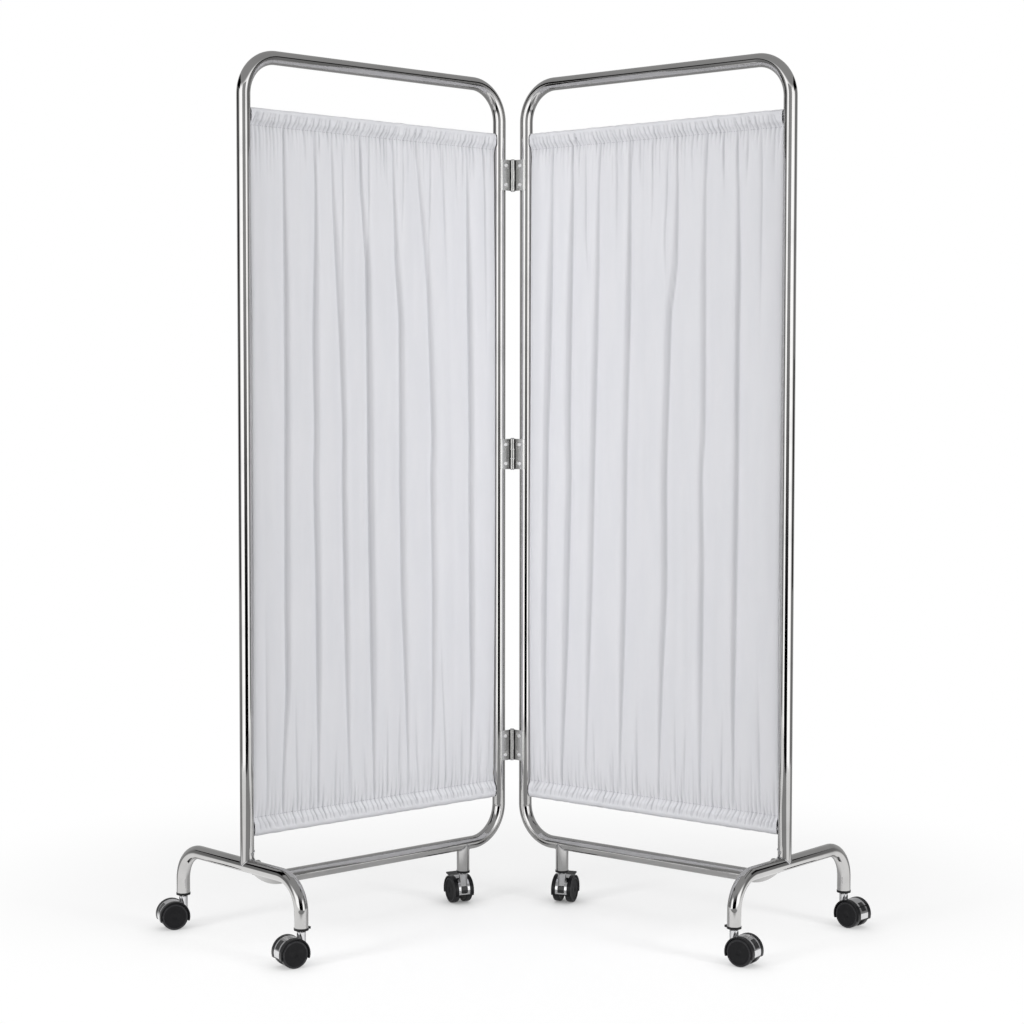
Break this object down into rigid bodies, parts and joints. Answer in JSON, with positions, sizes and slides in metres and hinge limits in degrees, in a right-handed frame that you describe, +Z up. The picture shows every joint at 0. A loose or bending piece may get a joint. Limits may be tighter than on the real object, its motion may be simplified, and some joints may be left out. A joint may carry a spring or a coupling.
{
  "type": "folding screen",
  "caption": "Folding ward screen: hinged bent-tube panels with gathered curtains on rods, standing on arched feet with swivelling twin-wheel castors.",
  "frame": {"origin": "on the floor directly under the hinge axis", "axes": "+Z up along the hinge axis, the panels open towards -Y like a V, +X towards the right panel seen from the front"},
  "size_m": [1.3462, 0.5796, 1.6155],
  "materials": {
    "tube_chrome": "polished",
    "rod_chrome": "polished",
    "hinge_chrome": "polished",
    "castor_chrome": "polished",
    "steel": "satin",
    "black_plastic": "satin",
    "wheel": "satin",
    "cloth": "woven, gathered"
  },
  "bodies": {
    "left_panel": {"left_frame_tube": "tube_chrome", "left_foot_tube": "tube_chrome", "left_inner_post": "tube_chrome", "left_top_rod": "rod_chrome", "left_bottom_rod": "rod_chrome", "left_rod_end_cups": "rod_chrome", "left_curtain": "cloth", "left_hinge_screws": "steel", "left_castor_sockets": "black_plastic", "left_castor_stems": "steel", "lower_hinge_left_leaf": "hinge_chrome", "middle_hinge_left_leaf": "hinge_chrome", "upper_hinge_left_leaf": "hinge_chrome", "hinge_pins": "hinge_chrome"},
    "right_panel": {"right_frame_tube": "tube_chrome", "right_foot_tube": "tube_chrome", "right_inner_post": "tube_chrome", "right_top_rod": "rod_chrome", "right_bottom_rod": "rod_chrome", "right_rod_end_cups": "rod_chrome", "right_curtain": "cloth", "right_hinge_screws": "steel", "right_castor_sockets": "black_plastic", "right_castor_stems": "steel", "lower_hinge_right_leaf": "hinge_chrome", "middle_hinge_right_leaf": "hinge_chrome", "upper_hinge_right_leaf": "hinge_chrome"},
    "left_front_castor": {"left_front_castor_body": "black_plastic", "left_front_castor_cover": "castor_chrome", "left_front_castor_axle": "steel"},
    "left_front_castor_left_wheel": {"left_front_castor_left_wheel": "wheel"},
    "left_front_castor_right_wheel": {"left_front_castor_right_wheel": "wheel"},
    "left_back_castor": {"left_back_castor_body": "black_plastic", "left_back_castor_cover": "castor_chrome", "left_back_castor_axle": "steel"},
    "left_back_castor_left_wheel": {"left_back_castor_left_wheel": "wheel"},
    "left_back_castor_right_wheel": {"left_back_castor_right_wheel": "wheel"},
    "left_inner_castor": {"left_inner_castor_body": "black_plastic", "left_inner_castor_cover": "castor_chrome", "left_inner_castor_axle": "steel"},
    "left_inner_castor_left_wheel": {"left_inner_castor_left_wheel": "wheel"},
    "left_inner_castor_right_wheel": {"left_inner_castor_right_wheel": "wheel"},
    "left_inner_castor_brake": {"left_inner_castor_brake_lever": "black_plastic"},
    "right_front_castor": {"right_front_castor_body": "black_plastic", "right_front_castor_cover": "castor_chrome", "right_front_castor_axle": "steel"},
    "right_front_castor_left_wheel": {"right_front_castor_left_wheel": "wheel"},
    "right_front_castor_right_wheel": {"right_front_castor_right_wheel": "wheel"},
    "right_back_castor": {"right_back_castor_body": "black_plastic", "right_back_castor_cover": "castor_chrome", "right_back_castor_axle": "steel"},
    "right_back_castor_left_wheel": {"right_back_castor_left_wheel": "wheel"},
    "right_back_castor_right_wheel": {"right_back_castor_right_wheel": "wheel"},
    "right_inner_castor": {"right_inner_castor_body": "black_plastic", "right_inner_castor_cover": "castor_chrome", "right_inner_castor_axle": "steel"},
    "right_inner_castor_left_wheel": {"right_inner_castor_left_wheel": "wheel"},
    "right_inner_castor_right_wheel": {"right_inner_castor_right_wheel": "wheel"},
    "right_inner_castor_brake": {"right_inner_castor_brake_lever": "black_plastic"}
  },
  "joints": [
    {"name": "panel_fold", "type": "hinge", "parent": "left_panel", "child": "right_panel", "pos_m": [0, 0, 0.884], "axis": [0, 0, 1], "range_deg": [-50, 140]},
    {"name": "left_front_castor_swivel", "type": "hinge", "parent": "left_panel", "child": "left_front_castor", "pos_m": [-0.38061, -0.52762, 0.06], "axis": [0, 0, 1], "continuous": true},
    {"name": "left_front_castor_left_wheel_spin", "type": "hinge", "parent": "left_front_castor", "child": "left_front_castor_left_wheel", "pos_m": [-0.3981, -0.53732, 0.025], "axis": [0.4848, -0.8746, 0], "continuous": true},
    {"name": "left_front_castor_right_wheel_spin", "type": "hinge", "parent": "left_front_castor", "child": "left_front_castor_right_wheel", "pos_m": [-0.3981, -0.53732, 0.025], "axis": [0.4848, -0.8746, 0], "continuous": true},
    {"name": "left_back_castor_swivel", "type": "hinge", "parent": "left_panel", "child": "left_back_castor", "pos_m": [-0.62269, -0.24913, 0.06], "axis": [0, 0, 1], "continuous": true},
    {"name": "left_back_castor_left_wheel_spin", "type": "hinge", "parent": "left_back_castor", "child": "left_back_castor_left_wheel", "pos_m": [-0.64149, -0.25597, 0.025], "axis": [0.342, -0.9397, 0], "continuous": true},
    {"name": "left_back_castor_right_wheel_spin", "type": "hinge", "parent": "left_back_castor", "child": "left_back_castor_right_wheel", "pos_m": [-0.64149, -0.25597, 0.025], "axis": [0.342, -0.9397, 0], "continuous": true},
    {"name": "left_inner_castor_swivel", "type": "hinge", "parent": "left_panel", "child": "left_inner_castor", "pos_m": [-0.09746, -0.06683, 0.06], "axis": [0, 0, 1], "continuous": true},
    {"name": "left_inner_castor_left_wheel_spin", "type": "hinge", "parent": "left_inner_castor", "child": "left_inner_castor_left_wheel", "pos_m": [-0.10591, -0.04871, 0.025], "axis": [-0.9063, -0.4226, 0], "continuous": true},
    {"name": "left_inner_castor_right_wheel_spin", "type": "hinge", "parent": "left_inner_castor", "child": "left_inner_castor_right_wheel", "pos_m": [-0.10591, -0.04871, 0.025], "axis": [-0.9063, -0.4226, 0], "continuous": true},
    {"name": "left_inner_castor_brake_press", "type": "hinge", "parent": "left_inner_castor", "child": "left_inner_castor_brake", "pos_m": [-0.11128, -0.03719, 0.03912], "axis": [-0.9063, -0.4226, 0], "range_deg": [0, 12]},
    {"name": "right_front_castor_swivel", "type": "hinge", "parent": "right_panel", "child": "right_front_castor", "pos_m": [0.38061, -0.52762, 0.06], "axis": [0, 0, 1], "continuous": true},
    {"name": "right_front_castor_left_wheel_spin", "type": "hinge", "parent": "right_front_castor", "child": "right_front_castor_left_wheel", "pos_m": [0.39679, -0.53938, 0.025], "axis": [0.5878, 0.809, 0], "continuous": true},
    {"name": "right_front_castor_right_wheel_spin", "type": "hinge", "parent": "right_front_castor", "child": "right_front_castor_right_wheel", "pos_m": [0.39679, -0.53938, 0.025], "axis": [0.5878, 0.809, 0], "continuous": true},
    {"name": "right_back_castor_swivel", "type": "hinge", "parent": "right_panel", "child": "right_back_castor", "pos_m": [0.62269, -0.24913, 0.06], "axis": [0, 0, 1], "continuous": true},
    {"name": "right_back_castor_left_wheel_spin", "type": "hinge", "parent": "right_back_castor", "child": "right_back_castor_left_wheel", "pos_m": [0.63684, -0.26328, 0.025], "axis": [0.7071, 0.7071, 0], "continuous": true},
    {"name": "right_back_castor_right_wheel_spin", "type": "hinge", "parent": "right_back_castor", "child": "right_back_castor_right_wheel", "pos_m": [0.63684, -0.26328, 0.025], "axis": [0.7071, 0.7071, 0], "continuous": true},
    {"name": "right_inner_castor_swivel", "type": "hinge", "parent": "right_panel", "child": "right_inner_castor", "pos_m": [0.09746, -0.06683, 0.06], "axis": [0, 0, 1], "continuous": true},
    {"name": "right_inner_castor_left_wheel_spin", "type": "hinge", "parent": "right_inner_castor", "child": "right_inner_castor_left_wheel", "pos_m": [0.10495, -0.04829, 0.025], "axis": [-0.9272, 0.3746, 0], "continuous": true},
    {"name": "right_inner_castor_right_wheel_spin", "type": "hinge", "parent": "right_inner_castor", "child": "right_inner_castor_right_wheel", "pos_m": [0.10495, -0.04829, 0.025], "axis": [-0.9272, 0.3746, 0], "continuous": true},
    {"name": "right_inner_castor_brake_press", "type": "hinge", "parent": "right_inner_castor", "child": "right_inner_castor_brake", "pos_m": [0.10971, -0.0365, 0.03912], "axis": [-0.9272, 0.3746, 0], "range_deg": [0, 12]}
  ]
}
